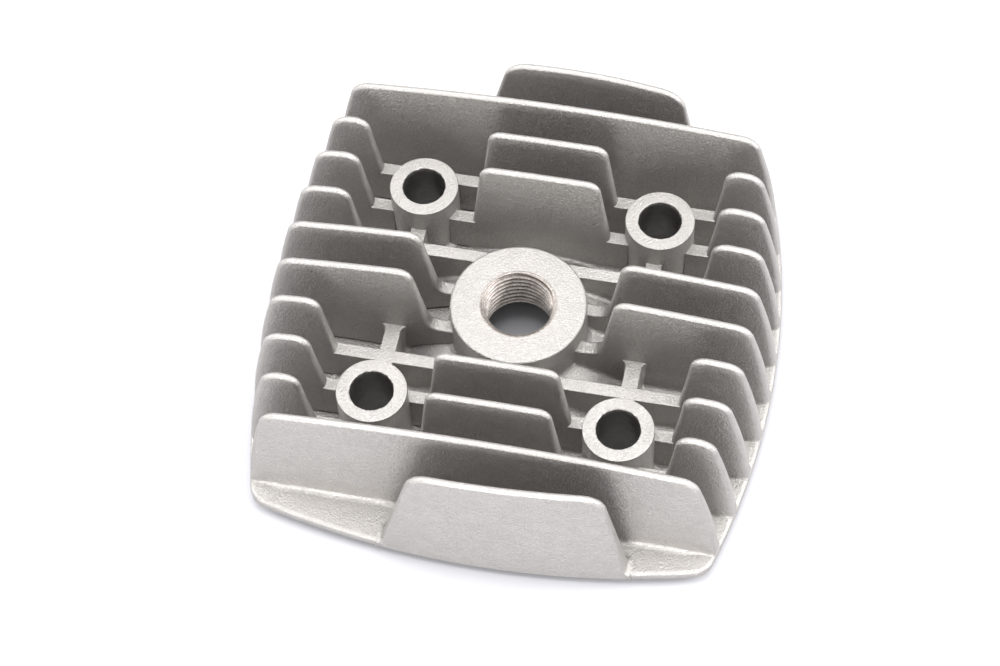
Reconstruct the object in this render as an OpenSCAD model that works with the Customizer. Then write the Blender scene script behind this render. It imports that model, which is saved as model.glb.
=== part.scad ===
// Air-cooled cylinder head for a small single-cylinder engine, a one-piece aluminium die casting.
// Millimetres, +Z up. The origin is on the spark plug axis, on the gasket face.
// +X is to the right across the fins' length, and +Y is to the rear. Row 1 is the rear long fin.

/* [Deck] */
// Greatest width of the deck, left to right
deck_w = 98; // [82:0.5:120]
// Greatest depth of the deck, front to rear
deck_d = 95; // [95:0.5:116]
// Thickness of the deck
deck_t = 2.3; // [1.5:0.1:4]
// Radius of the bowed left and right edges
side_arc_r = 145; // [115:1:300]
// Radius of the bowed front and rear edges
end_arc_r = 171; // [140:1:300]
// Corner radius of the deck
deck_corner_r = 4; // [2:0.5:8]

/* [Gasket land] */
// Height of the machined gasket land under the deck
land_t = 1.5; // [1:0.1:3]
// Width of the square gasket land
land_w = 64; // [60:0.5:76]
// Corner radius of the gasket land
land_corner_r = 9; // [4:0.5:14]

/* [Combustion dome] */
// Height of the dome's crown above the gasket face
dome_top = 10.15; // [9:0.05:12]
// Outer radius of the dome
dome_r = 41; // [34:0.5:50]
// Thickness of the dome's wall over the combustion chamber
dome_wall = 2.05; // [1.8:0.05:5]

/* [Spark plug] */
// Inner radius of the M14 x 1.25 spark plug thread
plug_hole_r = 6.32; // [5:0.01:7]
// Radius of the mouth of the plug hole
plug_mouth_r = 7.28; // [7.1:0.01:9]
// Depth of the mouth's chamfer
plug_mouth_h = 0.6; // [0.3:0.1:1.5]
// Outer radius of the plug boss
plug_boss_r = 12.88; // [10.5:0.01:15.6]
// Chamfer on the rim of the plug boss
plug_rim = 0.45; // [0.2:0.05:1]

/* [Studs] */
// Distance between stud centres, left to right
stud_pitch_x = 46; // [40:0.5:56]
// Distance between stud centres, front to rear
stud_pitch_y = 46; // [44:0.5:48]
// Radius of the clearance holes for M8 studs
stud_hole_r = 4.15; // [3.2:0.05:5]
// Outer radius of the stud bosses
stud_boss_r = 6.62; // [5.5:0.01:8]
// Height of the stud seats and the plug seat above the gasket face
seat_top = 17.1; // [14:0.1:21]

/* [Fins] */
// Height of the fins' crown above the gasket face
crown_top = 30; // [25:0.5:36]
// Radius of the arch along the fins' tops
arch_r = 370; // [250:5:800]
// Distance from one fin row to the next
row_pitch = 8.2; // [7:0.1:8.6]
// Thickness of a fin at its top
fin_tip_t = 1.3; // [1:0.1:2.5]
// Thickness of a fin at its root
fin_root_t = 3.3; // [2.5:0.1:4.5]
// Set-back of the fins' roots from the deck's left and right edges
fin_edge_gap = 0.3; // [0:0.1:3]
// Clearance from a stud boss to the root of the outer fin beside it
outer_fin_gap = 1.6; // [0.5:0.1:4]
// Clearance from a left-hand stud boss to the root of the centre fin beside it
centre_gap_left = 2.4; // [0.5:0.1:4]
// Clearance from a right-hand stud boss to the root of the centre fin beside it
centre_gap_right = 1.5; // [0.5:0.1:4]
// Clearance from the plug boss to the inner end of the fins beside it, at the deck
plug_fin_gap = 2.1; // [1:0.1:5]

/* [Tab fins] */
// Reach of a tab fin's root to the left of the plug axis
tab_left = 17.5; // [10:0.5:25]
// Reach of a tab fin's root to the right of the plug axis
tab_right = 28.6; // [20:0.1:32]
// Thickness of a tab fin at its root
tab_root_t = 3.3; // [2:0.1:4]
// Thickness of a tab fin at its top
tab_tip_t = 1.3; // [1:0.1:2]
// How far a tab fin's outer face leans inwards at its top
tab_draft = 1.4; // [0.5:0.1:3]

/* [Ribs] */
// Height above the gasket face of the ribs that meet the stud bosses
rib_top = 12.6; // [11:0.1:14]
// Height above the gasket face of the ribs and webs nearest the plug
low_rib_top = 11.8; // [11:0.1:14]
// Width of the cross ribs
cross_rib_t = 3; // [2:0.1:5]
// Radius of the fillets where a cross rib meets its fin
cross_fillet_r = 1.2; // [0.5:0.1:2]
// Radius of the fillet between a plug web and its fin
web_fillet_r = 3.2; // [1:0.1:5]

/* [Hidden] */
$fn = 128;

as_cast = [0.80, 0.79, 0.77];
fin_cast = [0.74, 0.73, 0.71];
rib_cast = [0.66, 0.65, 0.63];
machined = [0.88, 0.88, 0.87];

rows = 10;
deck_z = land_t + deck_t;
fin_h = crown_top - deck_z;
stud_x = stud_pitch_x / 2;
stud_y = stud_pitch_y / 2;
dome_centre_z = dome_top - dome_r;
chamber_r = dome_r - dome_wall;
side_arc_x = deck_w / 2 - side_arc_r;
end_arc_y = deck_d / 2 - end_arc_r;
past = 1;

// A fin's end is [root, lean, bow, corner]: how far its root reaches out from the plug axis, how it
// draws back with height h as lean * h + bow * h^2, and the radius of its upper corner.
outer_corner_r = 3.3;
long_corner_r = 3.5;
short_corner_r = 3.2;
centre_corner_r = 2.6;
plug_corner_r = 3;
tab_corner_r = 4.5;
edge_lean = 0.08;
edge_bow = 0.004;
short_lean = 0.124;
centre_lean = 0.12;
plug_lean = 0.155;
tab_left_end = [tab_left, 0.27, 0, tab_corner_r];
tab_right_end = [tab_right, 0.185, 0, tab_corner_r];
short_end = [-(stud_x + stud_boss_r + outer_fin_gap), short_lean, 0, short_corner_r];
plug_end = [-(plug_boss_r + plug_fin_gap), plug_lean, 0, plug_corner_r];

function row_y(row) = ((rows + 1) / 2 - row) * row_pitch;
function deck_half_w(y) = side_arc_x + sqrt(side_arc_r * side_arc_r - y * y);
function centre_end(side) =
    [stud_x - stud_boss_r - (side < 0 ? centre_gap_left : centre_gap_right), centre_lean, 0, centre_corner_r];
function edge_end(row, corner) = [deck_half_w(row_y(row)) - fin_edge_gap, edge_lean, edge_bow, corner];
function end_at(e, h) = e[0] - e[1] * h - e[2] * h * h;
function arch_z(x) = crown_top - x * x / (2 * arch_r);
function unit(v) = v / norm(v);
function arc_points(centre, r, from, to, steps) =
    [for (i = [0:steps]) let (a = from + (to - from) * i / steps) centre + r * [cos(a), sin(a)]];
function flip_x(points) = [for (i = [len(points) - 1:-1:0]) [-points[i][0], points[i][1]]];

// Height at which an end meets the arch, found by trying a height and correcting it four times
function corner_h(e, tries = 4) = tries == 0 ? fin_h : arch_z(end_at(e, corner_h(e, tries - 1))) - deck_z;

// Directions at an end's upper corner: up the end, and inwards along the arch
function up_at(e) = unit([-e[1] - 2 * e[2] * corner_h(e), 1]);
function along_at(e) = unit([-1, end_at(e, corner_h(e)) / arch_r]);
function turn_at(e) = acos(up_at(e) * along_at(e));
function setback_at(e) = e[3] * tan(turn_at(e) / 2);

// The end with its corner made small enough for the top that it shares with the other end
function fitted(e, other) =
    let (top_w = end_at(e, corner_h(e)) + end_at(other, corner_h(other)),
        share = top_w / (setback_at(e) + setback_at(other)))
    [e[0], e[1], e[2], e[3] * min(1, 0.98 * share)];

// Right-hand end of a fin's outline from the root to the arch, with its corner rounded
function end_points(e) =
    let (h = corner_h(e),
        up = up_at(e),
        setback = setback_at(e),
        centre = [end_at(e, h), deck_z + h] - setback * up + e[3] * [-up[1], up[0]],
        start = atan2(-up[0], up[1]),
        straight_h = h - setback * up[1],
        steps = e[2] == 0 ? 1 : 8)
    concat(
        [for (i = [0:steps - 1]) let (k = straight_h * i / steps) [end_at(e, k), deck_z + k]],
        arc_points(centre, e[3], start, start + turn_at(e), 6));

function arch_points(x_from, x_to) =
    let (steps = ceil(abs(x_to - x_from) / 6))
    [for (i = [1:1:steps - 1]) let (x = x_from + (x_to - x_from) * i / steps) [x, arch_z(x)]];

function fin_outline(left, right) =
    let (r = end_points(fitted(right, left)), l = flip_x(end_points(fitted(left, right))))
    concat(r, arch_points(r[len(r) - 1][0], l[0][0]), l);

function bar_outline(left, right, top) =
    let (h = top - deck_z)
    [[-end_at(left, 0), deck_z], [end_at(right, 0), deck_z], [end_at(right, h), top], [-end_at(left, h), top]];

// The end of a rib that butts against a fin's end
function butt(e) = [-e[0], -e[1], -e[2], 0];

// Quarter of the deck's outline: the corner circle touches the side arc and the end arc
deck_corner = let (
    a = side_arc_r - deck_corner_r,
    b = end_arc_r - deck_corner_r,
    gap = norm([side_arc_x, end_arc_y]),
    along = (a * a - b * b + gap * gap) / (2 * gap),
    across = sqrt(a * a - along * along),
    u = [-side_arc_x, end_arc_y] / gap)
    [side_arc_x, 0] + along * u + across * [-u[1], u[0]];
corner_from = atan2(deck_corner[1], deck_corner[0] - side_arc_x);
corner_to = atan2(deck_corner[1] - end_arc_y, deck_corner[0]);
deck_quarter = concat(
    arc_points([side_arc_x, 0], side_arc_r, 0, corner_from, 10),
    arc_points(deck_corner, deck_corner_r, corner_from, corner_to, 6),
    arc_points([0, end_arc_y], end_arc_r, corner_to, 90, 10));
deck_half = concat(deck_quarter, flip_x(deck_quarter));
deck_outline = concat(deck_half, [for (p = deck_half) -p]);

module dome_ball() {
    translate([0, 0, dome_centre_z]) sphere(r = dome_r);
}

module chamber_ball() {
    translate([0, 0, dome_centre_z]) sphere(r = chamber_r);
}

module plug_cylinder() {
    cylinder(r = plug_boss_r, h = crown_top);
}

module at_studs() {
    for (x = [-stud_x, stud_x], y = [-stud_y, stud_y]) translate([x, y, 0]) children();
}

module stud_cylinders() {
    at_studs() cylinder(r = stud_boss_r, h = seat_top);
}

module stud_holes() {
    at_studs() translate([0, 0, -past]) cylinder(r = stud_hole_r, h = seat_top + 2 * past);
}

// Long bar with the fins' taper, which gives every fin and rib of a row its thickness
module row_taper(row) {
    root = fin_root_t / 2;
    tip = fin_tip_t / 2;
    translate([-deck_w / 2, row_y(row), deck_z])
        rotate([90, 0, 90])
            linear_extrude(height = deck_w)
                polygon([[-root, 0], [root, 0], [tip, fin_h], [-tip, fin_h]]);
}

// A side view's outline as a solid as deep as the row
module row_slab(row, outline) {
    translate([0, row_y(row) + fin_root_t / 2, 0])
        rotate([90, 0, 0])
            linear_extrude(height = fin_root_t) polygon(outline);
}

module deck() {
    color(as_cast)
        difference() {
            translate([0, 0, land_t]) linear_extrude(height = deck_t) polygon(deck_outline);
            chamber_ball();
            stud_holes();
        }
}

module gasket_land() {
    c = land_w / 2 - land_corner_r;
    corners = [[c, c, 0], [-c, c, 90], [-c, -c, 180], [c, -c, 270]];
    color(machined)
        difference() {
            linear_extrude(height = land_t)
                polygon([for (k = corners) each arc_points([k[0], k[1]], land_corner_r, k[2], k[2] + 90, 8)]);
            chamber_ball();
            stud_holes();
        }
}

module combustion_dome() {
    color(rib_cast)
        difference() {
            dome_ball();
            chamber_ball();
            plug_cylinder();
            translate([0, 0, deck_z - 2 * dome_r]) cube([4 * dome_r, 4 * dome_r, 4 * dome_r], center = true);
        }
}

module plug_boss() {
    color(as_cast)
        difference() {
            rotate_extrude()
                polygon([[plug_hole_r, deck_z], [plug_boss_r, deck_z], [plug_boss_r, seat_top - plug_rim],
                    [plug_boss_r - plug_rim, seat_top], [plug_mouth_r, seat_top],
                    [plug_hole_r, seat_top - plug_mouth_h]]);
            chamber_ball();
        }
}

module stud_boss(side_x, side_y) {
    color(as_cast)
        translate([side_x * stud_x, side_y * stud_y, deck_z])
            difference() {
                cylinder(r = stud_boss_r, h = seat_top - deck_z);
                translate([0, 0, -past]) cylinder(r = stud_hole_r, h = seat_top - deck_z + 2 * past);
            }
}

module long_fin(row) {
    end = edge_end(row, long_corner_r);
    color(fin_cast)
        intersection() {
            row_slab(row, fin_outline(end, end));
            row_taper(row);
        }
}

module outer_fin(row, side) {
    end = edge_end(row, outer_corner_r);
    color(fin_cast)
        difference() {
            intersection() {
                row_slab(row, side < 0 ? fin_outline(end, short_end) : fin_outline(short_end, end));
                row_taper(row);
            }
            stud_cylinders();
        }
}

module centre_fin(row) {
    color(fin_cast)
        difference() {
            intersection() {
                row_slab(row, fin_outline(centre_end(-1), centre_end(1)));
                row_taper(row);
            }
            dome_ball();
            plug_cylinder();
        }
}

// Fin beside the plug, with the low web that carries it on to the plug boss and the fillet between them
module plug_fin(row, side) {
    fillet_z = low_rib_top + web_fillet_r;
    fillet_x = -end_at(plug_end, fillet_z - deck_z) - web_fillet_r;
    edge = edge_end(row, outer_corner_r);
    outer = end_points(fitted(edge, plug_end));
    inner = flip_x(end_points(fitted(plug_end, edge)));
    outline = concat(
        [[0, deck_z]],
        outer,
        arch_points(outer[len(outer) - 1][0], inner[0][0]),
        [for (i = [0:len(inner) - 2]) inner[i]],
        arc_points([fillet_x, fillet_z], web_fillet_r, 0, -90, 6),
        [[0, low_rib_top]]);
    mirror([side < 0 ? 1 : 0, 0, 0])
        color(fin_cast)
            difference() {
                intersection() {
                    row_slab(row, outline);
                    row_taper(row);
                }
                dome_ball();
                plug_cylinder();
            }
}

// Curved in plan with the deck's end arc; its outer face is flush with the deck's edge at the root
module tab_fin(side) {
    reach = max(tab_left, tab_right) + past;
    half_angle = asin(reach / (end_arc_r - tab_root_t - tab_draft));
    depth = deck_d / 2;
    color(fin_cast)
        intersection() {
            mirror([0, side < 0 ? 1 : 0, 0])
                translate([0, end_arc_y, 0])
                    rotate([0, 0, 90 - half_angle])
                        rotate_extrude(angle = 2 * half_angle, $fn = 720)
                            polygon([[end_arc_r - tab_root_t, deck_z], [end_arc_r, deck_z],
                                [end_arc_r - tab_draft, crown_top],
                                [end_arc_r - tab_draft - tab_tip_t, crown_top]]);
            translate([0, side < 0 ? 0 : depth + past, 0])
                rotate([90, 0, 0])
                    linear_extrude(height = depth + past) polygon(fin_outline(tab_left_end, tab_right_end));
        }
}

// Ribs from the outer fins to the stud bosses and on to the centre fin
module stud_ribs(row) {
    color(rib_cast)
        for (side = [-1, 1])
            mirror([side < 0 ? 1 : 0, 0, 0])
                difference() {
                    intersection() {
                        row_slab(row, bar_outline(butt(centre_end(side)), butt(short_end), rib_top));
                        row_taper(row);
                    }
                    stud_cylinders();
                    dome_ball();
                }
}

// Rib that runs past the plug boss from one outer fin to the other
module plug_rib(row) {
    color(rib_cast)
        difference() {
            intersection() {
                row_slab(row, bar_outline(butt(short_end), butt(short_end), low_rib_top));
                row_taper(row);
            }
            plug_cylinder();
            dome_ball();
            stud_cylinders();
        }
}

// Rib across the rows, from the fin beside the plug to the stud boss, with fillets at the fin
module cross_rib(side_x, fin_row, rib_row) {
    fin_y = abs(row_y(fin_row));
    half = cross_rib_t / 2;
    flare_y = fin_y + fin_root_t / 2 + cross_fillet_r;
    right = concat(
        [[half + cross_fillet_r, fin_y]],
        arc_points([half + cross_fillet_r, flare_y], cross_fillet_r, 270, 180, 5),
        [[half, stud_y]]);
    color(rib_cast)
        difference() {
            mirror([0, row_y(fin_row) < 0 ? 1 : 0, 0])
                translate([side_x * stud_x, 0, deck_z])
                    linear_extrude(height = low_rib_top - deck_z) polygon(concat(right, flip_x(right)));
            row_taper(fin_row);
            row_taper(rib_row);
            stud_cylinders();
            dome_ball();
        }
}

deck();
gasket_land();
combustion_dome();
plug_boss();
stud_boss(-1, 1);  // rear_left_stud_boss
stud_boss(1, 1);  // rear_right_stud_boss
stud_boss(-1, -1);  // front_left_stud_boss
stud_boss(1, -1);  // front_right_stud_boss
tab_fin(1);  // rear_tab_fin
long_fin(1);  // row1_long_fin
outer_fin(2, -1);  // row2_left_fin
centre_fin(2);  // row2_centre_fin
outer_fin(2, 1);  // row2_right_fin
outer_fin(3, -1);  // row3_left_fin
centre_fin(3);  // row3_centre_fin
outer_fin(3, 1);  // row3_right_fin
outer_fin(4, -1);  // row4_left_fin
outer_fin(4, 1);  // row4_right_fin
plug_fin(5, -1);  // row5_left_fin
plug_fin(5, 1);  // row5_right_fin
plug_fin(6, -1);  // row6_left_fin
plug_fin(6, 1);  // row6_right_fin
outer_fin(7, -1);  // row7_left_fin
outer_fin(7, 1);  // row7_right_fin
outer_fin(8, -1);  // row8_left_fin
centre_fin(8);  // row8_centre_fin
outer_fin(8, 1);  // row8_right_fin
outer_fin(9, -1);  // row9_left_fin
centre_fin(9);  // row9_centre_fin
outer_fin(9, 1);  // row9_right_fin
long_fin(10);  // row10_long_fin
tab_fin(-1);  // front_tab_fin
stud_ribs(2);  // row2_ribs
stud_ribs(3);  // row3_ribs
plug_rib(4);  // row4_rib
plug_rib(7);  // row7_rib
stud_ribs(8);  // row8_ribs
stud_ribs(9);  // row9_ribs
cross_rib(-1, 5, 4);  // rear_left_cross_rib
cross_rib(1, 5, 4);  // rear_right_cross_rib
cross_rib(-1, 6, 7);  // front_left_cross_rib
cross_rib(1, 6, 7);  // front_right_cross_rib
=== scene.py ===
from math import asin, copysign, cos, pi, radians, sin, sqrt, tan

import bmesh
import bpy
from mathutils import Matrix, Vector, noise


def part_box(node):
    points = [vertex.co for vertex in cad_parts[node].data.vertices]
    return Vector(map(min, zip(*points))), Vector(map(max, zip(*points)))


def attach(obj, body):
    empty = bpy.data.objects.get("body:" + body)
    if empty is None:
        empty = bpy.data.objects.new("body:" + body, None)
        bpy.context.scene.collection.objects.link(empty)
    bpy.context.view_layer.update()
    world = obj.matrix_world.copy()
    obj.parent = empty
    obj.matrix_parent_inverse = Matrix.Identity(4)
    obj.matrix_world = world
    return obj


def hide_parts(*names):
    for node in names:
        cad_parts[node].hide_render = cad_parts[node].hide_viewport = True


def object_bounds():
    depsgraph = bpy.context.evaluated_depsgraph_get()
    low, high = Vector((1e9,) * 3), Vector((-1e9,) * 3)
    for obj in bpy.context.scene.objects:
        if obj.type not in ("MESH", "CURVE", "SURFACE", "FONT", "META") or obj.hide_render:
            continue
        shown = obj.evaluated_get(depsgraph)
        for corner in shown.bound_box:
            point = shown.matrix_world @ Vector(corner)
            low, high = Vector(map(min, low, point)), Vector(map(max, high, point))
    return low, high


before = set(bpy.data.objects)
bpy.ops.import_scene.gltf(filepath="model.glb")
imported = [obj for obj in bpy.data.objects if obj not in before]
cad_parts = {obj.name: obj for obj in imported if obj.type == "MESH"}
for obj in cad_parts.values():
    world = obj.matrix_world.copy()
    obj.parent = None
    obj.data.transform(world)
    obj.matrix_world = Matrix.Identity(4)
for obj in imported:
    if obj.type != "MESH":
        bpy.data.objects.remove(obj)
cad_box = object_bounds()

# ---------------------------------------------------------------------------------------------
# Deck: the thin plate with bowed edges that carries every fin. It is one region of the aluminium
# die casting, so it has the casting's shot-blasted skin and its edges are rounded, not cut.
# All shapes are worked in millimetres, and become metres when their piece is made.
# ---------------------------------------------------------------------------------------------
MM = 0.001


def span(node):
    """Lowest and highest corner of a region of the head, in millimetres."""
    low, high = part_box(node)
    return Vector(low) / MM, Vector(high) / MM


def new_group(name, inputs, outputs):
    """An empty shader group with its sockets: {name: default} in, {name: socket type} out."""
    group = bpy.data.node_groups.new(name, "ShaderNodeTree")
    for label, value in inputs.items():
        kind = "NodeSocketColor" if isinstance(value, tuple) else "NodeSocketFloat"
        socket = group.interface.new_socket(label, in_out="INPUT", socket_type=kind)
        socket.default_value = value
    for label, kind in outputs.items():
        group.interface.new_socket(label, in_out="OUTPUT", socket_type=kind)
    return group


def add_node(tree, kind, **values):
    """A node with its settings by attribute, or by input name where it has such an input."""
    node = tree.nodes.new(kind)
    for key, value in values.items():
        if hasattr(node, key):
            setattr(node, key, value)
        else:
            node.inputs[key.replace("_", " ")].default_value = value
    return node


def join(tree, source, output, target, name):
    tree.links.new(source.outputs[output], target.inputs[name])


def colour_mix(tree):
    """A mix of two colours: its node, the sockets of the two colours, and the mixed colour's."""
    mix = tree.nodes.new("ShaderNodeMix")
    mix.data_type = "RGBA"
    return mix, mix.inputs[6], mix.inputs[7], mix.outputs[2]


def shot_blast_group():
    """Fine pits and sparkles left by shot blasting, over the soft mottling of the cast skin."""
    tree = new_group(
        "Shot blast",
        {"Pale": (0.8, 0.8, 0.8, 1), "Dull": (0.6, 0.6, 0.6, 1), "Grain": 2600.0, "Roughness": 0.5},
        {"Color": "NodeSocketColor", "Roughness": "NodeSocketFloat", "Height": "NodeSocketFloat"},
    )
    given = tree.nodes.new("NodeGroupInput")
    result = tree.nodes.new("NodeGroupOutput")
    place = tree.nodes.new("ShaderNodeTexCoord")
    pits = add_node(tree, "ShaderNodeTexNoise", Detail=3.0, Roughness=0.65)
    specks = add_node(tree, "ShaderNodeTexVoronoi", feature="F1", Randomness=1.0)
    mottle = add_node(tree, "ShaderNodeTexNoise", Scale=330.0, Detail=4.0, Roughness=0.6)
    cloud = add_node(tree, "ShaderNodeTexNoise", Scale=45.0, Detail=2.0, Roughness=0.5)
    for texture in (pits, specks, mottle, cloud):
        join(tree, place, "Object", texture, "Vector")
    join(tree, given, "Grain", pits, "Scale")
    join(tree, given, "Grain", specks, "Scale")
    fine = add_node(tree, "ShaderNodeMapRange", **{"From Min": 0.3, "From Max": 0.7})
    join(tree, pits, "Fac", fine, "Value")
    broad = add_node(tree, "ShaderNodeMapRange", **{"From Min": 0.35, "From Max": 0.65})
    join(tree, mottle, "Fac", broad, "Value")
    soft = add_node(tree, "ShaderNodeMapRange", **{"From Min": 0.3, "From Max": 0.7})
    join(tree, cloud, "Fac", soft, "Value")
    spark = add_node(tree, "ShaderNodeSeparateColor")
    join(tree, specks, "Color", spark, "Color")
    grain_sum = add_node(tree, "ShaderNodeMath", operation="MULTIPLY_ADD")
    grain_sum.inputs[1].default_value = 0.45
    join(tree, fine, "Result", grain_sum, 0)
    speck_share = add_node(tree, "ShaderNodeMath", operation="MULTIPLY_ADD")
    speck_share.inputs[1].default_value = 0.2
    join(tree, spark, "Red", speck_share, 0)
    mottle_share = add_node(tree, "ShaderNodeMath", operation="MULTIPLY_ADD")
    mottle_share.inputs[1].default_value = 0.2
    join(tree, broad, "Result", mottle_share, 0)
    cloud_share = add_node(tree, "ShaderNodeMath", operation="MULTIPLY")
    cloud_share.inputs[1].default_value = 0.15
    join(tree, soft, "Result", cloud_share, 0)
    join(tree, cloud_share, "Value", mottle_share, 2)
    join(tree, mottle_share, "Value", speck_share, 2)
    join(tree, speck_share, "Value", grain_sum, 2)
    blend, dull, pale, mixed = colour_mix(tree)
    join(tree, grain_sum, "Value", blend, "Factor")
    tree.links.new(given.outputs["Dull"], dull)
    tree.links.new(given.outputs["Pale"], pale)
    tree.links.new(mixed, result.inputs["Color"])
    rough = add_node(tree, "ShaderNodeMath", operation="MULTIPLY_ADD")
    rough.inputs[1].default_value = -0.16
    join(tree, spark, "Green", rough, 0)
    join(tree, given, "Roughness", rough, 2)
    join(tree, rough, "Value", result, "Roughness")
    join(tree, grain_sum, "Value", result, "Height")
    return tree


SHOT_BLAST = shot_blast_group()


def cast_aluminium():
    """Die-cast aluminium with its shot-blasted skin: pale, matt and finely grained."""
    material = bpy.data.materials.new("cast_aluminium")
    material.use_nodes = True
    tree = material.node_tree
    skin = tree.nodes["Principled BSDF"]
    grain = tree.nodes.new("ShaderNodeGroup")
    grain.node_tree = SHOT_BLAST
    grain.inputs["Pale"].default_value = (0.40, 0.385, 0.372, 1)
    grain.inputs["Dull"].default_value = (0.32, 0.306, 0.294, 1)
    grain.inputs["Grain"].default_value = 2400.0
    grain.inputs["Roughness"].default_value = 0.62
    bump = add_node(tree, "ShaderNodeBump", Strength=0.8, Distance=0.0002)
    join(tree, grain, "Color", skin, "Base Color")
    join(tree, grain, "Roughness", skin, "Roughness")
    join(tree, grain, "Height", bump, "Height")
    join(tree, bump, "Normal", skin, "Normal")
    skin.inputs["Metallic"].default_value = 1.0
    return material


CAST_SKIN = cast_aluminium()


def head_piece(bm, name, material, slot_name, *nodes):
    """Turns a finished shape into a piece of the head that stands for its regions."""
    sharp_from = radians(38)
    bmesh.ops.remove_doubles(bm, verts=bm.verts[:], dist=1e-4)
    bmesh.ops.recalc_face_normals(bm, faces=bm.faces[:])
    bmesh.ops.scale(bm, vec=(MM, MM, MM), verts=bm.verts[:])
    mesh = bpy.data.meshes.new(name)
    bm.to_mesh(mesh)
    bm.free()
    mesh.materials.append(material)
    mesh.shade_smooth()
    mesh.set_sharp_from_angle(angle=sharp_from)
    piece = bpy.data.objects.new(name, mesh)
    bpy.context.scene.collection.objects.link(piece)
    even = piece.modifiers.new("Even shading", "WEIGHTED_NORMAL")
    even.keep_sharp = True
    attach(piece, "root")
    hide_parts(*nodes)
    return piece


def everything(bm):
    return bm.verts[:] + bm.edges[:] + bm.faces[:]


def cut_at(bm, place, normal):
    """Adds a loop of edges where a plane crosses the shape, and leaves the shape as it is."""
    bmesh.ops.bisect_plane(bm, geom=everything(bm), plane_co=place, plane_no=normal, dist=1e-5)


def move_walls(bm, heights, out_by):
    """Cuts the walls at some heights and moves each wall vertex straight out by out_by(vertex)."""
    for height in heights:
        cut_at(bm, (0, 0, height), (0, 0, 1))
    bm.normal_update()
    moves = []
    for vertex in bm.verts:
        out = sum((f.normal for f in vertex.link_faces if abs(f.normal.z) < 0.6), Vector())
        out.z = 0
        if out.length > 1e-6:
            moves.append((vertex, out.normalized(), out_by(vertex)))
    for vertex, out, distance in moves:
        vertex.co += out * distance


def round_in(depth, radius):
    """How far a rounded rim draws in at a depth below its top."""
    if depth >= radius:
        return 0.0
    return radius - sqrt(radius * radius - (radius - depth) ** 2)


DECK_LOW, DECK_HIGH = span("deck")
SIDE_ARC_R = 145.0
END_ARC_R = 171.0
CORNER_R = 4.0
STUD_X = STUD_Y = 23.0
STUD_HOLE_R = 4.15
DECK_TOP = DECK_HIGH.z
LAND_TOP = DECK_LOW.z


def deck_half_width(y):
    return DECK_HIGH.x - SIDE_ARC_R + sqrt(SIDE_ARC_R**2 - y * y)


def deck_half_depth(x):
    return DECK_HIGH.y - END_ARC_R + sqrt(END_ARC_R**2 - x * x)


def deck_corner():
    """Where the side arc and the end arc would cross."""
    x, y = DECK_HIGH.x, DECK_HIGH.y
    for _ in range(8):
        x, y = deck_half_width(y), deck_half_depth(x)
    return x, y


def fill_between_rings(bm, rings):
    """Fills the flat outline in bm, leaving a round hole for each (x, y, radius, segments)."""
    for x, y, radius, segments in rings:
        spot = Matrix.Translation((x, y, 0))
        bmesh.ops.create_circle(bm, cap_ends=False, segments=segments, radius=radius, matrix=spot)
    bmesh.ops.triangle_fill(bm, use_beauty=True, edges=bm.edges[:], normal=(0, 0, 1))


def thicken(bm, low, high):
    """Makes the flat shape in bm a plate from low to high."""
    bmesh.ops.translate(bm, vec=(0, 0, low), verts=bm.verts[:])
    grown = bmesh.ops.extrude_face_region(bm, geom=bm.faces[:])["geom"]
    tops = [g for g in grown if isinstance(g, bmesh.types.BMVert)]
    bmesh.ops.translate(bm, vec=(0, 0, high - low), verts=tops)


def upright_edges(bm, x, y):
    """The vertical edges that stand at the four mirror places of (x, y)."""
    def stands_there(vertex):
        return abs(abs(vertex.co.x) - x) < 0.01 and abs(abs(vertex.co.y) - y) < 0.01
    return [e for e in bm.edges if all(map(stands_there, e.verts))
            and abs(e.verts[0].co.z - e.verts[1].co.z) > 0.1]


def make_deck():
    corner_x, corner_y = deck_corner()
    bm = bmesh.new()
    bmesh.ops.create_grid(bm, x_segments=1, y_segments=1, size=1.0)
    bmesh.ops.delete(bm, geom=bm.faces[:], context="FACES_ONLY")
    bmesh.ops.subdivide_edges(bm, edges=bm.edges[:], cuts=19)
    for vertex in bm.verts:
        x, y = vertex.co.x * corner_x, vertex.co.y * corner_y
        if abs(vertex.co.x) > 0.999:
            vertex.co = (copysign(deck_half_width(y), x), y, 0)
        else:
            vertex.co = (x, copysign(deck_half_depth(x), y), 0)
    hidden_hole_r = STUD_HOLE_R + 1.3
    rings = [(sx * STUD_X, sy * STUD_Y, hidden_hole_r, 32) for sx in (-1, 1) for sy in (-1, 1)]
    under_dome_r = 22.6
    rings.append((0, 0, under_dome_r, 64))
    fill_between_rings(bm, rings)
    thicken(bm, LAND_TOP, DECK_TOP)
    turn = pi / 2 - asin(corner_y / SIDE_ARC_R) - asin(corner_x / END_ARC_R)
    bmesh.ops.bevel(bm, geom=upright_edges(bm, corner_x, corner_y), affect="EDGES",
                    offset=CORNER_R * tan(turn / 2), segments=7, profile=0.5, material=-1)
    top_r, foot_r = 0.8, 0.5
    heights = [DECK_TOP - top_r * (1 - cos(radians(a))) for a in (25, 45, 65, 90)]
    heights += [LAND_TOP + foot_r * (1 - cos(radians(a))) for a in (35, 60, 90)]

    def drawn_in(vertex):
        if max(abs(vertex.co.x), abs(vertex.co.y)) < 32:
            return 0.0
        return -round_in(DECK_TOP - vertex.co.z, top_r) - round_in(vertex.co.z - LAND_TOP, foot_r)

    move_walls(bm, heights, drawn_in)
    return head_piece(bm, "deck_plate", CAST_SKIN, "cast_aluminium", "deck")


make_deck()

# ---------------------------------------------------------------------------------------------
# Gasket land: the raised square under the deck that is milled flat to seal against the cylinder.
# It is the casting's own metal with a machined face, drilled for the four studs.
# ---------------------------------------------------------------------------------------------
LAND_LOW, LAND_HIGH = span("gasket_land")
LAND_CORNER_R = 9.0
CHAMBER_MOUTH_R = 23.78
CHAMBER_TOP_R = 21.69


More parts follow.
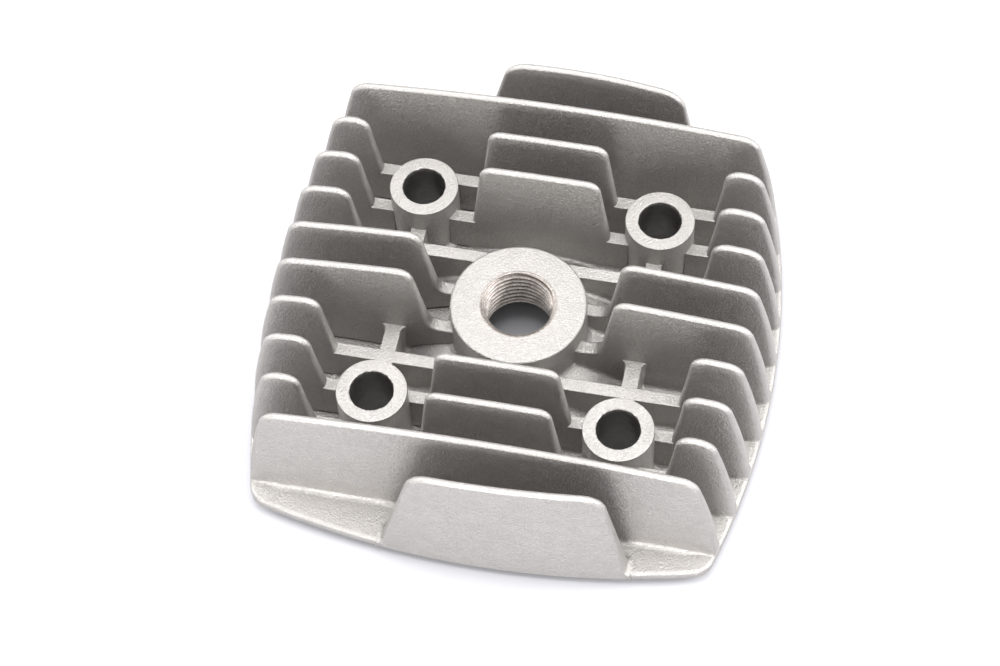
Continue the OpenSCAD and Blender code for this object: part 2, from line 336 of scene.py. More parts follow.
def milling_group():
    """Fine circular marks left by a face mill, as height, with a slight change of tone."""
    tree = new_group(
        "Milling marks",
        {"Pale": (0.8, 0.8, 0.8, 1), "Dull": (0.7, 0.7, 0.7, 1), "Pitch": 2200.0},
        {"Color": "NodeSocketColor", "Height": "NodeSocketFloat"},
    )
    given = tree.nodes.new("NodeGroupInput")
    result = tree.nodes.new("NodeGroupOutput")
    place = tree.nodes.new("ShaderNodeTexCoord")
    rings = add_node(tree, "ShaderNodeTexWave", wave_type="RINGS", rings_direction="Z",
                     Distortion=0.6, Detail=2.0)
    join(tree, place, "Object", rings, "Vector")
    join(tree, given, "Pitch", rings, "Scale")
    blend, dull, pale, mixed = colour_mix(tree)
    join(tree, rings, "Fac", blend, "Factor")
    tree.links.new(given.outputs["Dull"], dull)
    tree.links.new(given.outputs["Pale"], pale)
    tree.links.new(mixed, result.inputs["Color"])
    join(tree, rings, "Fac", result, "Height")
    return tree


MILLING = milling_group()


def machined_aluminium():
    """Bare aluminium as the cutter leaves it, brighter and smoother than the cast skin."""
    material = bpy.data.materials.new("machined_aluminium")
    material.use_nodes = True
    tree = material.node_tree
    skin = tree.nodes["Principled BSDF"]
    marks = tree.nodes.new("ShaderNodeGroup")
    marks.node_tree = MILLING
    marks.inputs["Pale"].default_value = (0.84, 0.835, 0.82, 1)
    marks.inputs["Dull"].default_value = (0.68, 0.67, 0.655, 1)
    bump = add_node(tree, "ShaderNodeBump", Strength=0.25, Distance=0.0001)
    join(tree, marks, "Color", skin, "Base Color")
    join(tree, marks, "Height", bump, "Height")
    join(tree, bump, "Normal", skin, "Normal")
    skin.inputs["Metallic"].default_value = 1.0
    skin.inputs["Roughness"].default_value = 0.32
    return material


MACHINED_SKIN = machined_aluminium()


def make_gasket_land():
    half = LAND_HIGH.x
    bm = bmesh.new()
    bmesh.ops.create_grid(bm, x_segments=1, y_segments=1, size=half)
    bmesh.ops.delete(bm, geom=bm.faces[:], context="FACES_ONLY")
    rings = [(sx * STUD_X, sy * STUD_Y, STUD_HOLE_R, 48) for sx in (-1, 1) for sy in (-1, 1)]
    rings.append((0, 0, CHAMBER_MOUTH_R, 96))
    fill_between_rings(bm, rings)
    thicken(bm, LAND_LOW.z, LAND_TOP)
    bmesh.ops.bevel(bm, geom=upright_edges(bm, half, half), affect="EDGES",
                    offset=LAND_CORNER_R, segments=10, profile=0.5, material=-1)
    for vertex in bm.verts:
        reach = vertex.co.xy.length
        if reach < CHAMBER_MOUTH_R + 0.1 and vertex.co.z > LAND_TOP - 0.1:
            vertex.co.xy *= CHAMBER_TOP_R / reach
    return head_piece(bm, "gasket_land_face", MACHINED_SKIN, "machined_aluminium", "gasket_land")


make_gasket_land()

# ---------------------------------------------------------------------------------------------
# Combustion dome: the shallow spherical shell over the chamber. Outside it swells up between the
# ribs around the plug boss; inside it is the chamber's roof. Cast in one with the deck.
# ---------------------------------------------------------------------------------------------
DOME_R = 41.0
DOME_WALL = 2.05
DOME_TOP = 10.15
DOME_CENTRE_Z = DOME_TOP - DOME_R
PLUG_SLEEVE_R = 9.0


def dome_height(reach, radius=DOME_R):
    """Height of the dome's surface at a distance from the plug axis."""
    return DOME_CENTRE_Z + sqrt(radius**2 - reach**2)


def turned(points, segments):
    """A closed ring turned about the plug axis from a closed section of (radius, height) points."""
    bm = bmesh.new()
    corners = [bm.verts.new((r, 0, z)) for r, z in points]
    sides = [bm.edges.new((a, b)) for a, b in zip(corners, corners[1:] + corners[:1])]
    bmesh.ops.spin(bm, geom=corners + sides, cent=(0, 0, 0), axis=(0, 0, 1),
                   angle=2 * pi, steps=segments, use_merge=True)
    return bm


def make_dome():
    inner_r = DOME_R - DOME_WALL
    steps = 12
    foot_reach = 21.9
    crown_reach = foot_reach - 1.2 - PLUG_SLEEVE_R
    reaches = [PLUG_SLEEVE_R + crown_reach * i / steps for i in range(steps + 1)]
    section = [(r, dome_height(r)) for r in reaches]
    edge_r, edge_z = section[-1]
    section += [(edge_r + 0.9, edge_z - 0.42), (edge_r + 1.9, DECK_TOP + 0.07)]
    section += [(edge_r + 3.2, DECK_TOP - 0.01)]
    section += [(edge_r + 3.2, DECK_TOP - 0.5), (edge_r + 3.2, LAND_TOP), (CHAMBER_TOP_R, LAND_TOP)]
    roof = [CHAMBER_TOP_R + (PLUG_SLEEVE_R - 0.1 - CHAMBER_TOP_R) * i / 8 for i in range(1, 9)]
    section += [(r, dome_height(r, inner_r)) for r in roof]
    bm = turned(section, 128)
    return head_piece(bm, "combustion_dome_shell", CAST_SKIN, "cast_aluminium", "combustion_dome")


make_dome()

# ---------------------------------------------------------------------------------------------
# Spark plug boss: a round pillar on top of the dome, faced on top for the plug's washer. Its hole
# is tapped M14 x 1.25 right through, and the mouth is chamfered.
# ---------------------------------------------------------------------------------------------
BOSS_HIGH = span("plug_boss")[1]
PLUG_BOSS_R = BOSS_HIGH.x
SEAT_TOP = BOSS_HIGH.z
THREAD_INNER_R = 6.32
THREAD_DEPTH = 0.68
THREAD_PITCH = 1.25
THREAD_LOW = 7.59
CREST_SHARE = 0.12
FLANK_SHARE = 0.72
RUN_OUT = 0.5
MOUTH_R = 7.28
MOUTH_DEPTH = 0.6


def make_plug_boss():
    rim = 0.45
    lip_z = SEAT_TOP - 0.8
    foot_z = dome_height(PLUG_BOSS_R)
    inside_z = DECK_TOP + 3.6
    foot_r = 1.3
    section = [(PLUG_SLEEVE_R, lip_z), (PLUG_SLEEVE_R, inside_z), (PLUG_BOSS_R + 1.1, inside_z)]
    for angle in (8, 30, 50, 70, 90):
        out = foot_r * (1 - sin(radians(angle)))
        rise = foot_r * (1 - cos(radians(angle)))
        section.append((PLUG_BOSS_R + out, foot_z - 0.4 * out + rise))
    for angle in (0, 30, 60, 90):
        back = rim * (1 - cos(radians(angle)))
        section.append((PLUG_BOSS_R - back, SEAT_TOP - rim * (1 - sin(radians(angle)))))
    section += [(MOUTH_R + 0.05, SEAT_TOP), (MOUTH_R + 0.01, SEAT_TOP - 0.05)]
    section += [(MOUTH_R + 0.01, lip_z)]
    bm = turned(section, 128)
    return head_piece(bm, "plug_boss_pillar", CAST_SKIN, "cast_aluminium", "plug_boss")


def tapped_aluminium():
    """Cut thread: bright speckled crests, and roots painted dark as shade. The plug axis is Z."""
    material = bpy.data.materials.new("tapped_aluminium")
    material.use_nodes = True
    tree = material.node_tree
    skin = tree.nodes["Principled BSDF"]
    place = tree.nodes.new("ShaderNodeTexCoord")
    flat = tree.nodes.new("ShaderNodeVectorMath")
    flat.operation = "MULTIPLY"
    flat.inputs[1].default_value = (1, 1, 0)
    reach = tree.nodes.new("ShaderNodeVectorMath")
    reach.operation = "LENGTH"
    # Painted shade: beyond the crest radius the colour falls to the dark root colour, standing in for
    # the shade in the thread's roots.
    crest = tree.nodes.new("ShaderNodeMapRange")
    crest.inputs["From Min"].default_value = (THREAD_INNER_R + 0.52) * MM
    crest.inputs["From Max"].default_value = (THREAD_INNER_R + 0.08) * MM
    smear = add_node(tree, "ShaderNodeTexNoise", Scale=2600.0, Detail=3.0)
    height = tree.nodes.new("ShaderNodeSeparateXYZ")
    # A band at the mouth lifts the chamfer out of the painted root shade.
    mouth = tree.nodes.new("ShaderNodeMapRange")
    mouth.inputs["From Min"].default_value = (SEAT_TOP - 0.8) * MM
    mouth.inputs["From Max"].default_value = (SEAT_TOP - 0.5) * MM
    mouth.inputs["To Max"].default_value = 0.8
    bright = add_node(tree, "ShaderNodeMath", operation="MAXIMUM")
    # The blend's share of the crest colour: the crest and mouth bands, broken up by the noise. Where
    # it is low, the thread shows the painted root shade.
    unshaded_share = add_node(tree, "ShaderNodeMath", operation="MULTIPLY")
    blend, root, top, mixed = colour_mix(tree)
    # Painted shade: the dark brownish colour of the thread roots stands in for the shade deep in the
    # thread.
    root.default_value = (0.05, 0.034, 0.026, 1)
    top.default_value = (0.62, 0.585, 0.555, 1)
    join(tree, place, "Object", flat, 0)
    join(tree, flat, "Vector", reach, 0)
    join(tree, reach, "Value", crest, "Value")
    join(tree, place, "Object", smear, "Vector")
    join(tree, place, "Object", height, "Vector")
    join(tree, height, "Z", mouth, "Value")
    join(tree, crest, "Result", bright, 0)
    join(tree, mouth, "Result", bright, 1)
    join(tree, bright, "Value", unshaded_share, 0)
    join(tree, smear, "Fac", unshaded_share, 1)
    join(tree, unshaded_share, "Value", blend, "Factor")
    tree.links.new(mixed, skin.inputs["Base Color"])
    skin.inputs["Metallic"].default_value = 1.0
    skin.inputs["Roughness"].default_value = 0.55
    return material


def make_plug_thread():
    high = SEAT_TOP - 0.1
    rows = 84
    section = [(THREAD_INNER_R, THREAD_LOW + (high - THREAD_LOW) * i / rows) for i in range(rows + 1)]
    roof_z = dome_height(PLUG_SLEEVE_R, DOME_R - DOME_WALL)
    section += [(PLUG_SLEEVE_R + 0.1, high), (PLUG_SLEEVE_R + 0.1, roof_z)]
    bm = turned(section, 128)
    for vertex in bm.verts:
        x, y, z = vertex.co
        if vertex.co.xy.length > THREAD_INNER_R + 0.1:
            continue
        turn = Vector((x, y)).angle_signed(Vector((1, 0)), 0.0) / (2 * pi)
        phase = (z / THREAD_PITCH - turn) % 1.0
        flank = min(max((abs(2 * phase - 1) - CREST_SHARE) / FLANK_SHARE, 0.0), 1.0)
        fade = min(max((z - THREAD_LOW) / RUN_OUT, 0.0), 1.0)
        cut = THREAD_INNER_R + THREAD_DEPTH * flank * fade
        bevel = MOUTH_R - (SEAT_TOP - z) * (MOUTH_R - THREAD_INNER_R) / MOUTH_DEPTH
        vertex.co.xy *= max(cut, bevel) / THREAD_INNER_R
    return head_piece(bm, "plug_thread", tapped_aluminium(), "machined_aluminium", "plug_boss")


make_plug_boss()
make_plug_thread()

# ---------------------------------------------------------------------------------------------
# Stud bosses: four pillars that the long cylinder studs pass through, with a nut and washer on
# each. They are cast with the deck and faced level with the plug's seat.
# ---------------------------------------------------------------------------------------------
STUD_BOSS_R = (span("rear_right_stud_boss")[1].x - span("rear_right_stud_boss")[0].x) / 2


def make_stud_boss(node):
    low, high = span(node)
    centre = (low + high) / 2
    bore_r = STUD_HOLE_R + 0.5
    lip_z = SEAT_TOP - 0.9
    section = [(bore_r, LAND_TOP + 0.1), (STUD_BOSS_R, LAND_TOP + 0.1)]
    section += [(STUD_BOSS_R + 1.2, DECK_TOP - 0.4)]
    foot_r = 1.2
    for angle in (0, 25, 50, 70, 90):
        section.append((STUD_BOSS_R + foot_r * (1 - sin(radians(angle))),
                        DECK_TOP + foot_r * (1 - cos(radians(angle)))))
    rim = 0.22
    section += [(STUD_BOSS_R, SEAT_TOP - rim), (STUD_BOSS_R - 0.07, SEAT_TOP - 0.07)]
    section += [(STUD_BOSS_R - rim, SEAT_TOP), (STUD_HOLE_R + 0.12, SEAT_TOP)]
    section += [(STUD_HOLE_R - 0.02, SEAT_TOP - 0.12), (STUD_HOLE_R - 0.02, lip_z), (bore_r, lip_z)]
    bm = turned(section, 144)
    for vertex in bm.verts:
        if vertex.co.xy.length < STUD_HOLE_R + 0.3 and vertex.co.z > lip_z - 0.1:
            broad = noise.noise(vertex.co.xyz * 1.7 + centre)
            fine = noise.noise(vertex.co.xyz * 4.0 + centre)
            ragged = broad + 0.6 * fine
            vertex.co.xy *= 1 + 0.018 * ragged
    bmesh.ops.translate(bm, vec=(centre.x, centre.y, 0), verts=bm.verts[:])
    return head_piece(bm, node + "_pillar", CAST_SKIN, "cast_aluminium", node)


def drilled_wall_painted_shade():
    """The drill's wall: duller than the skin, darkened as painted shade, and scored round the hole.
    """
    material = bpy.data.materials.new("drilled_wall_painted_shade")
    material.use_nodes = True
    tree = material.node_tree
    skin = tree.nodes["Principled BSDF"]
    place = tree.nodes.new("ShaderNodeTexCoord")
    squash = tree.nodes.new("ShaderNodeMapping")
    squash.inputs["Scale"].default_value = (1, 1, 4)
    scores = add_node(tree, "ShaderNodeTexNoise", Scale=420.0, Detail=5.0, Roughness=0.65)
    # Painted shade: both tones are far darker than drilled aluminium, standing in for the shade deep
    # in the bore.
    blend, dull, pale, mixed = colour_mix(tree)
    dull.default_value = (0.14, 0.132, 0.124, 1)
    pale.default_value = (0.36, 0.345, 0.33, 1)
    bump = add_node(tree, "ShaderNodeBump", Strength=0.4, Distance=0.0002)
    join(tree, place, "Object", squash, "Vector")
    join(tree, squash, "Vector", scores, "Vector")
    join(tree, scores, "Fac", blend, "Factor")
    tree.links.new(mixed, skin.inputs["Base Color"])
    join(tree, scores, "Fac", bump, "Height")
    join(tree, bump, "Normal", skin, "Normal")
    skin.inputs["Metallic"].default_value = 1.0
    skin.inputs["Roughness"].default_value = 0.38
    return material


DRILLED_PAINTED_SHADE = drilled_wall_painted_shade()


def make_stud_hole(node):
    """The drilled wall inside a stud boss, as a thin sleeve sunk in the boss, in painted shade."""
    low, high = span(node)
    centre = (low + high) / 2
    outer = STUD_HOLE_R + 0.6
    heights = [SEAT_TOP - 0.35 - (SEAT_TOP - 0.35 - LAND_TOP) * i / 12 for i in range(13)]
    section = [(STUD_HOLE_R, z) for z in heights] + [(outer, heights[-1]), (outer, heights[0])]
    bm = turned(section, 96)
    bmesh.ops.translate(bm, vec=(centre.x, centre.y, 0), verts=bm.verts[:])
    return head_piece(bm, node + "_hole", DRILLED_PAINTED_SHADE, "cast_aluminium", node)


for place in ("rear_left", "rear_right", "front_left", "front_right"):
    make_stud_boss(place + "_stud_boss")
    make_stud_hole(place + "_stud_boss")

# ---------------------------------------------------------------------------------------------
# Fins: thin blades in ten rows, cast upright on the deck. They taper so that they leave the die,
# their tops follow a shallow arch, and every edge and root is rounded.
# ---------------------------------------------------------------------------------------------
CROWN = cad_box[1][2] / MM
FIN_H = CROWN - DECK_TOP
FIN_ROOT_HALF = 1.65
FIN_TIP_HALF = 0.65
ARCH_R = 370.0
FOOT_R = 1.0
SUNK = 0.4
EDGE_LEAN = 0.08
EDGE_BOW = 0.004
SHORT_LEAN = 0.124
CENTRE_LEAN = 0.12
PLUG_LEAN = 0.155
LOW_RIB_TOP = span("row4_rib")[1].z
BASE = DECK_TOP - SUNK
FIN_EDGE_R = 0.6
EDGE_DRIFT = EDGE_LEAN * FIN_H + EDGE_BOW * FIN_H**2
OUTER_CORNER_R = 3.3
SHORT_CORNER_R = 3.6
CENTRE_CORNER_R = 2.6
LONG_CORNER_R = 3.5
PLUG_CORNER_R = 3.0
WEB_FILLET_R = 3.2
PLUG_FIN_GAP = 2.1
BOW_FROM = 30.0
NO_BOW = 90.0
FOOT_HEIGHTS = [DECK_TOP + FOOT_R * (1 - cos(radians(a))) for a in (0, 20, 40, 62, 90)]


def ground_height(x, y):
    """Height of the casting's floor: the deck, or the dome where it stands above the deck."""
    reach = min(Vector((x, y)).length, 22.0)
    return max(DECK_TOP, dome_height(max(reach, PLUG_BOSS_R)))


def blade(outline, rounds, half_at, edge_r):
    """A flat bar that stands in the XZ plane: its outline's corners are rounded by the radii in
    rounds, its thickness is 2 * half_at(height), and the edges of both faces are rounded."""
    bm = bmesh.new()
    face = bm.faces.new([bm.verts.new((x, 0, z)) for x, z in outline])
    grown = bmesh.ops.extrude_face_region(bm, geom=[face])["geom"]
    rear = [g for g in grown if isinstance(g, bmesh.types.BMVert)]
    bmesh.ops.translate(bm, vec=(0, 1, 0), verts=rear)
    bmesh.ops.recalc_face_normals(bm, faces=bm.faces[:])
    count = len(outline)
    for index, radius in rounds.items():
        here = Vector(outline[index])
        before = (here - Vector(outline[index - 1])).normalized()
        after = (Vector(outline[(index + 1) % count]) - here).normalized()
        turn = before.angle(after)
        edge = [e for e in bm.edges if all((v.co.xz - here).length < 1e-4 for v in e.verts)]
        bmesh.ops.bevel(bm, geom=edge, affect="EDGES", offset=radius * tan(turn / 2),
                        segments=8, profile=0.5, material=-1)
    for vertex in bm.verts:
        vertex.co.y = copysign(half_at(vertex.co.z), vertex.co.y - 0.5)
    bm.normal_update()
    base = min(z for _, z in outline)

    def is_rim(edge):
        sides = sum(abs(f.normal.y) > 0.9 for f in edge.link_faces)
        return sides == 1 and max(v.co.z for v in edge.verts) > base + 0.01

    bmesh.ops.bevel(bm, geom=[e for e in bm.edges if is_rim(e)], affect="EDGES",
                    offset=edge_r, segments=3, profile=0.5, material=-1)
    return bm


def soften_end(bm, foot, tip, into, share_off=0.35, from_z=-99.0):
    """Thins the blade towards its upright end, so that the end is rounded in plan as well."""
    depth = 1.4
    along = Vector((tip[0] - foot[0], 0, tip[1] - foot[1])).normalized()
    inward = Vector((abs(along.z) * into, 0, -along.x * into))
    start = Vector((foot[0], 0, foot[1]))
    for share in (0.1, 0.3, 0.6, 1.0):
        cut_at(bm, start + inward * depth * share, inward)
    for vertex in bm.verts:
        reach = min(max((vertex.co - start).dot(inward) / depth, 0.0), 1.0)
        strength = min(max((vertex.co.z - from_z) / 3.0, 0.0), 1.0)
        vertex.co.y *= 1 - share_off * strength * (1 - sqrt(1 - (1 - reach) ** 2))


def fin_half(z):
    return FIN_ROOT_HALF + (FIN_TIP_HALF - FIN_ROOT_HALF) * max(z - DECK_TOP, 0) / FIN_H


def cut_grid(bm, x_step, heights):
    """Loops across a bar, close enough for it to bend smoothly."""
    low = min(v.co.x for v in bm.verts)
    high = max(v.co.x for v in bm.verts)
    count = max(2, round((high - low) / x_step))
    for i in range(1, count):
        cut_at(bm, (low + (high - low) * i / count, 0, 0), (1, 0, 0))
    for height in heights:
        cut_at(bm, (0, 0, height), (0, 0, 1))


def spread_foot(bm, y):
    """Spreads the bar's root into a fillet on the deck, kept inside the deck's edge."""
    def out_by(vertex):
        above = max(vertex.co.z - DECK_TOP, 0.0)
        return round_in(above, FOOT_R) * (0.3 if abs(vertex.co.x) > 40 else 1.0)

    move_walls(bm, FOOT_HEIGHTS, out_by)
    for vertex in bm.verts:
        if vertex.co.z < DECK_TOP + FOOT_R:
            edge = deck_half_width(y + vertex.co.y) - 0.2
            vertex.co.x = min(max(vertex.co.x, -edge), edge)


def settle(bm, y, fade_h):
    """Moves the bar to its row and lifts its root on to the dome where it stands on it."""
    for vertex in bm.verts:
        vertex.co.y += y
        rise = ground_height(vertex.co.x, vertex.co.y) - DECK_TOP
        share = 1 - min(max((vertex.co.z - DECK_TOP - FOOT_R) / fade_h, 0.0), 1.0)
        vertex.co.z += rise * share


def bend_fin(bm, bow_from):
    """Gives the fin its arched top, and the outer ends their bow."""
    for vertex in bm.verts:
        h = max(vertex.co.z - DECK_TOP, 0.0)
        share = min(max((abs(vertex.co.x) - bow_from) / 8.0, 0.0), 1.0)
        vertex.co.x += copysign(EDGE_BOW * h * (FIN_H - h) * share, vertex.co.x)
        vertex.co.z -= vertex.co.x**2 / (2 * ARCH_R) * h / FIN_H


def finish_fin(bm, node, y, bow_from):
    cut_grid(bm, 3.0, [DECK_TOP + FIN_H * i / 8 for i in range(1, 8)])
    bend_fin(bm, bow_from)
    spread_foot(bm, y)
    settle(bm, y, 8.0)
    return head_piece(bm, node + "_blade", CAST_SKIN, "cast_aluminium", node)


def make_outer_fin(node, side):
    low, high = span(node)
    outer, inner = max(abs(low.x), abs(high.x)), min(abs(low.x), abs(high.x))
    outline = [(inner, BASE), (outer, BASE),
               (outer - EDGE_DRIFT, CROWN), (inner + SHORT_LEAN * FIN_H, CROWN)]
    bm = blade(outline, {2: OUTER_CORNER_R, 3: SHORT_CORNER_R}, fin_half, FIN_EDGE_R)
    soften_end(bm, outline[0], outline[3], 1, 0.22)
    soften_end(bm, outline[1], outline[2], -1)
    if side < 0:
        bmesh.ops.scale(bm, vec=(-1, 1, 1), verts=bm.verts[:])
    return finish_fin(bm, node, (low.y + high.y) / 2, BOW_FROM)


def make_centre_fin(node):
    low, high = span(node)
    drift = CENTRE_LEAN * FIN_H
    outline = [(low.x, BASE), (high.x, BASE), (high.x - drift, CROWN), (low.x + drift, CROWN)]
    bm = blade(outline, {2: CENTRE_CORNER_R, 3: CENTRE_CORNER_R}, fin_half, FIN_EDGE_R)
    soften_end(bm, outline[0], outline[3], 1)
    soften_end(bm, outline[1], outline[2], -1)
    return finish_fin(bm, node, (low.y + high.y) / 2, NO_BOW)


def make_long_fin(node):
    low, high = span(node)
    top = high.x - EDGE_DRIFT
    outline = [(-high.x, BASE), (high.x, BASE), (top, CROWN), (-top, CROWN)]
    bm = blade(outline, {2: LONG_CORNER_R, 3: LONG_CORNER_R}, fin_half, FIN_EDGE_R)
    soften_end(bm, outline[0], outline[3], 1)
    soften_end(bm, outline[1], outline[2], -1)
    return finish_fin(bm, node, (low.y + high.y) / 2, BOW_FROM)


def make_plug_fin(node, side):
    """Fin beside the plug, with the low web that carries it on to the plug boss."""
    low, high = span(node)
    outer = max(abs(low.x), abs(high.x))
    inner = PLUG_BOSS_R + PLUG_FIN_GAP
    web_end = PLUG_BOSS_R - 2.6
    outline = [(web_end, BASE), (outer, BASE),
               (outer - EDGE_DRIFT, CROWN), (inner + PLUG_LEAN * FIN_H, CROWN),
               (inner + PLUG_LEAN * (LOW_RIB_TOP - DECK_TOP), LOW_RIB_TOP), (web_end, LOW_RIB_TOP)]
    rounds = {2: OUTER_CORNER_R, 3: PLUG_CORNER_R, 4: WEB_FILLET_R}
    bm = blade(outline, rounds, fin_half, FIN_EDGE_R)
    soften_end(bm, outline[1], outline[2], -1)
    soften_end(bm, outline[4], outline[3], 1, 0.25, LOW_RIB_TOP + 1.0)
    if side < 0:
        bmesh.ops.scale(bm, vec=(-1, 1, 1), verts=bm.verts[:])
    return finish_fin(bm, node, (low.y + high.y) / 2, BOW_FROM)


def make_pin_mark(node, x, y, radius):
    """Low round step that a die's ejector pin leaves on the web beside the plug boss."""
    low, top = LOW_RIB_TOP - 1.5, LOW_RIB_TOP + 0.3
    section = [(0, low), (radius, low), (radius, top - 0.12), (radius - 0.12, top), (0, top + 0.03)]
    bm = turned(section, 40)
    bmesh.ops.translate(bm, vec=(x, y, 0), verts=bm.verts[:])
    return head_piece(bm, node + "_pin_mark", CAST_SKIN, "cast_aluminium", node)


for row in (2, 3, 4, 7, 8, 9):
    make_outer_fin(f"row{row}_left_fin", -1)
    make_outer_fin(f"row{row}_right_fin", 1)
for row in (2, 3, 8, 9):
    make_centre_fin(f"row{row}_centre_fin")
for row in (5, 6):
    make_plug_fin(f"row{row}_left_fin", -1)
    make_plug_fin(f"row{row}_right_fin", 1)
make_pin_mark("row5_right_fin", 15.9, 4.2, 1.1)
make_pin_mark("row6_right_fin", 15.6, -4.0, 1.25)
make_long_fin("row1_long_fin")
make_long_fin("row10_long_fin")

# ---------------------------------------------------------------------------------------------
# Tab fins: one short curved blade at the front edge and one at the rear. The outer face carries
# the deck's edge straight up with a few degrees of draft, and the blade follows the edge's curve.
# ---------------------------------------------------------------------------------------------
TAB_ROOT_T = 3.3
TAB_TIP_T = 1.3
TAB_DRAFT = 1.4
TAB_LEFT_LEAN = 0.27
TAB_RIGHT_LEAN = 0.185
TAB_CORNER_R = 4.5


def make_tab_fin(node, side, tilt):
    low, high = span(node)
    base = LAND_TOP + 0.35
    outline = [(low.x, base), (high.x, base), (high.x - TAB_RIGHT_LEAN * FIN_H, CROWN),
               (low.x + TAB_LEFT_LEAN * FIN_H, CROWN)]

    def half_at(z):
        return (TAB_ROOT_T + (TAB_TIP_T - TAB_ROOT_T) * max(z - DECK_TOP, 0) / FIN_H) / 2

    bm = blade(outline, {2: TAB_CORNER_R, 3: TAB_CORNER_R}, half_at, FIN_EDGE_R)
    soften_end(bm, outline[0], outline[3], 1, 0.3, DECK_TOP)
    soften_end(bm, outline[1], outline[2], -1, 0.3, DECK_TOP)
    cut_grid(bm, 2.5, [DECK_TOP + FIN_H * i / 6 for i in range(1, 6)])

    def out_by(vertex):
        if vertex.co.y > half_at(vertex.co.z) - FIN_EDGE_R * 0.5:
            return 0.0
        return round_in(max(vertex.co.z - DECK_TOP, 0.0), FOOT_R)

    move_walls(bm, FOOT_HEIGHTS, out_by)
    middle = (low.x + high.x) / 2
    for vertex in bm.verts:
        x, y, z = vertex.co
        h = max(z - DECK_TOP, 0.0) / FIN_H
        y += -half_at(z) - TAB_DRAFT * h + 0.03
        vertex.co.y = side * (y + deck_half_depth(x))
        vertex.co.z = z + h * (tilt * (x - middle) - x * x / (2 * ARCH_R))
    return head_piece(bm, node + "_blade", CAST_SKIN, "cast_aluminium", node)


make_tab_fin("rear_tab_fin", 1, 0.0)
make_tab_fin("front_tab_fin", -1, 0.03)

# ---------------------------------------------------------------------------------------------
# Ribs: low bars in line with the fins that tie them to the stud bosses, and pass the plug boss in
# rows 4 and 7. They feed metal across the casting, and have flat tops with crisp edges.
# ---------------------------------------------------------------------------------------------
RIB_EDGE_R = 0.22
SLACK = 0.03


def rib_half(z):
    return fin_half(z) - SLACK


def merged(parts):
    """One shape out of several that don't touch."""
    whole = bmesh.new()
    for part in parts:
        scratch = bpy.data.meshes.new("scratch")
        part.to_mesh(scratch)
        part.free()
        whole.from_mesh(scratch)
        bpy.data.meshes.remove(scratch)
    return whole


def finish_rib(bm, y, fade_h):
    cut_grid(bm, 2.0, [])
    spread_foot(bm, y)
    settle(bm, y, fade_h)
    return bm


def make_stud_ribs(node):
    low, high = span(node)
    y = (low.y + high.y) / 2
    centre_low, centre_high = span("row2_centre_fin")
    outer_end = span("row2_right_fin")[0].x
    inside_wall = 5.4
    beside = abs(abs(y) - STUD_Y) > 4
    gap = 0.6 if beside else inside_wall
    parts = []
    for side in (-1, 1):
        centre_end = centre_high.x if side > 0 else -centre_low.x
        for x_from, x_to in ((centre_end - 1.8, STUD_X - gap), (STUD_X + gap, outer_end + 1.8)):
            outline = [(x_from, BASE), (x_to, BASE), (x_to, high.z), (x_from, high.z)]
            bm = blade(outline, {}, rib_half, RIB_EDGE_R)
            if side < 0:
                bmesh.ops.scale(bm, vec=(-1, 1, 1), verts=bm.verts[:])
            parts.append(finish_rib(bm, y, 7.0))
    return head_piece(merged(parts), node + "_bars", CAST_SKIN, "cast_aluminium", node)


def make_plug_rib(node):
    low, high = span(node)
    y = (low.y + high.y) / 2
    reach = span("row4_right_fin")[0].x + 1.8
    outline = [(-reach, BASE), (reach, BASE), (reach, high.z), (-reach, high.z)]
    bm = blade(outline, {}, rib_half, RIB_EDGE_R)
    return head_piece(finish_rib(bm, y, 6.0), node + "_bar", CAST_SKIN, "cast_aluminium", node)


for row in (2, 3, 8, 9):
    make_stud_ribs(f"row{row}_ribs")
for row in (4, 7):
    make_plug_rib(f"row{row}_rib")

# ---------------------------------------------------------------------------------------------
# Cross ribs: four short bars from the plug fins back to the stud bosses, across rows 4 and 7.
# They widen where they meet the fin, with a fillet on each side.
# ---------------------------------------------------------------------------------------------
CROSS_HALF = 1.5
CROSS_FILLET_R = 1.2


def make_cross_rib(node, side_x, side_y, fin_node):
    top = span(node)[1].z - 0.03
    fin_low, fin_high = span(fin_node)
    fin_face = max(abs(fin_low.y), abs(fin_high.y)) - 0.35
    start, stop = fin_face - 0.6, STUD_Y - STUD_BOSS_R + 1.2
    bm = bmesh.new()
    plan = [(CROSS_HALF + CROSS_FILLET_R, start)]
    for angle in (0, 22, 45, 68, 90):
        plan.append((CROSS_HALF + CROSS_FILLET_R * (1 - sin(radians(angle))),
                     fin_face + CROSS_FILLET_R * (1 - cos(radians(angle)))))
    plan.append((CROSS_HALF, stop))
    corners = plan + [(-x, y) for x, y in reversed(plan)]
    face = bm.faces.new([bm.verts.new((x, y, BASE)) for x, y in corners])
    grown = bmesh.ops.extrude_face_region(bm, geom=[face])["geom"]
    tops = [g for g in grown if isinstance(g, bmesh.types.BMVert)]
    bmesh.ops.translate(bm, vec=(0, 0, top - BASE), verts=tops)
    bmesh.ops.recalc_face_normals(bm, faces=bm.faces[:])
    rims = [e for e in bm.edges if min(v.co.z for v in e.verts) > top - 0.01]
    bmesh.ops.bevel(bm, geom=rims, affect="EDGES", offset=RIB_EDGE_R, segments=3,
                    profile=0.5, material=-1)
    move_walls(bm, FOOT_HEIGHTS, lambda v: round_in(max(v.co.z - DECK_TOP, 0.0), FOOT_R))
    for vertex in bm.verts:
        vertex.co.x = side_x * STUD_X + vertex.co.x
        vertex.co.y *= side_y
    return head_piece(bm, node + "_bar", CAST_SKIN, "cast_aluminium", node)


make_cross_rib("rear_left_cross_rib", -1, 1, "row5_left_fin")
make_cross_rib("rear_right_cross_rib", 1, 1, "row5_right_fin")
make_cross_rib("front_left_cross_rib", -1, -1, "row6_left_fin")
make_cross_rib("front_right_cross_rib", 1, -1, "row6_right_fin")

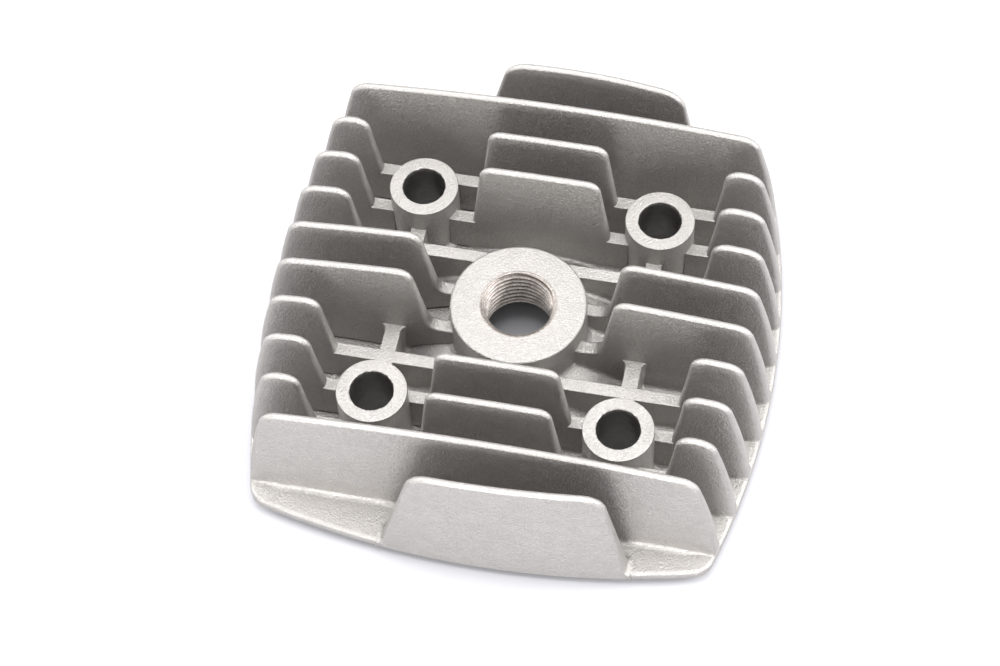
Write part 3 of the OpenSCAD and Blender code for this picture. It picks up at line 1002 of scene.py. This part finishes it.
# ---------------------------------------------------------------------------------------------
# Stage: a pale floor that the gasket face rests on, white light from all round, large soft lights
# overhead, at each side and low in front, and the camera high in front, a little to the right.
# ---------------------------------------------------------------------------------------------
def make_floor():
    bm = bmesh.new()
    bmesh.ops.create_grid(bm, x_segments=1, y_segments=1, size=3.0)
    mesh = bpy.data.meshes.new("floor")
    bm.to_mesh(mesh)
    bm.free()
    floor = bpy.data.objects.new("floor", mesh)
    bpy.context.scene.collection.objects.link(floor)
    paper = bpy.data.materials.new("white_paper")
    paper.use_nodes = True
    sheet = paper.node_tree.nodes["Principled BSDF"]
    sheet.inputs["Base Color"].default_value = (0.40, 0.40, 0.42, 1)
    sheet.inputs["Roughness"].default_value = 0.9
    mesh.materials.append(paper)


def make_light(name, place, target, size, power):
    lamp = bpy.data.lights.new(name, "AREA")
    lamp.shape = "DISK"
    lamp.size = size
    lamp.energy = power
    holder = bpy.data.objects.new(name, lamp)
    holder.location = place
    holder.rotation_euler = (Vector(target) - Vector(place)).to_track_quat("-Z", "Y").to_euler()
    bpy.context.scene.collection.objects.link(holder)


def make_camera():
    azimuth, elevation, roll = radians(14.597), radians(59.078), radians(-3.853)
    target = Vector((-2.13, -6.81, SEAT_TOP)) * MM
    distance = 476.07 * MM
    back = Vector((sin(azimuth) * cos(elevation), -cos(azimuth) * cos(elevation), sin(elevation)))
    level = Vector((cos(azimuth), sin(azimuth), 0))
    upward = back.cross(level)
    right = level * cos(roll) + upward * sin(roll)
    above = upward * cos(roll) - level * sin(roll)
    eye = bpy.data.cameras.new("camera")
    eye.sensor_width = 36.0
    eye.lens = 92.25
    holder = bpy.data.objects.new("camera", eye)
    turn = Matrix((right, above, back)).transposed().to_4x4()
    holder.matrix_world = Matrix.Translation(target + back * distance) @ turn
    bpy.context.scene.collection.objects.link(holder)
    bpy.context.scene.camera = holder


make_floor()
make_camera()
make_light("overhead", (0, 0.1, 1.0), (0, 0, 0), 0.7, 8.5)
make_light("left_hand", (-0.95, 0.1, 0.6), (0, 0, 0), 0.7, 9.9)
make_light("right_hand", (0.95, 0.1, 0.6), (0, 0, 0), 0.7, 15.8)
make_light("front", (0, -1.1, 0.15), (0, 0, 0), 0.6, 16.7)
surround = bpy.data.worlds.new("surround")
surround.use_nodes = True
surround.node_tree.nodes["Background"].inputs["Color"].default_value = (1.0, 1.0, 1.0, 1)
surround.node_tree.nodes["Background"].inputs["Strength"].default_value = 1.58
bpy.context.scene.world = surround
bpy.context.scene.view_settings.view_transform = "Standard"
